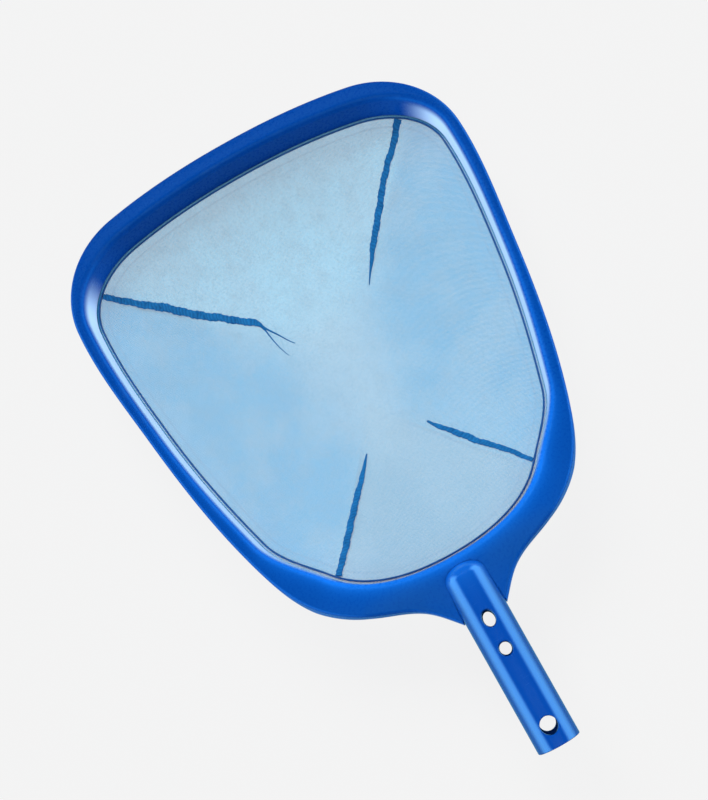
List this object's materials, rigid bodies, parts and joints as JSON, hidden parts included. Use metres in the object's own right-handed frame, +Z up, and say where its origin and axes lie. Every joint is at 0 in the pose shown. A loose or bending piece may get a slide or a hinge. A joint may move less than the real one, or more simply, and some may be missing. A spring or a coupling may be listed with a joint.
{
  "type": "leaf skimmer net",
  "caption": "Shield-shaped plastic pool skimmer head with a shallow fine-mesh bag clamped in its rim and a drilled tubular socket for a pole.",
  "frame": {"origin": "centre of the bounding box, at the lowest point of the bag", "axes": "+Z up out of the bag; +Y from the handle to the blade edge; +X across the head"},
  "size_m": [0.304, 0.451, 0.0713],
  "materials": {
    "frame_plastic": "satin moulded polypropylene, deep blue, soft gloss",
    "cover_plastic": "satin moulded polypropylene, deep blue",
    "handle_plastic": "glossy moulded plastic, blue",
    "net_mesh": "fine knitted polyester mesh, pale blue, see-through",
    "tape_fabric": "narrow woven binding tape, blue, stitched",
    "binding_thread": "overlocked thread binding, blue",
    "cord_fibre": "braided polypropylene cord, off-white",
    "screw_steel": "bright stainless steel"
  },
  "bodies": {
    "root": {"cover_screw_01": "screw_steel", "cover_screw_02": "screw_steel", "cover_screw_03": "screw_steel", "cover_screw_04": "screw_steel", "cover_screw_05": "screw_steel", "cover_screw_06": "screw_steel", "cover_screw_07": "screw_steel", "cover_screw_08": "screw_steel", "cover_screw_09": "screw_steel", "cover_screw_10": "screw_steel", "cover_screw_11": "screw_steel", "cover_screw_12": "screw_steel", "cover_screw_13": "screw_steel", "cover_screw_14": "screw_steel", "cover_screw_15": "screw_steel", "dart_tape_far_left": "tape_fabric", "dart_tape_far_right": "tape_fabric", "dart_tape_near_left": "tape_fabric", "dart_tape_near_right": "tape_fabric", "edge_binding": "binding_thread", "frame_cover": "cover_plastic", "frame_shell": "frame_plastic", "handle_tube": "handle_plastic", "hem_cord": "cord_fibre", "net_bag": "net_mesh"}
  },
  "joints": []
}
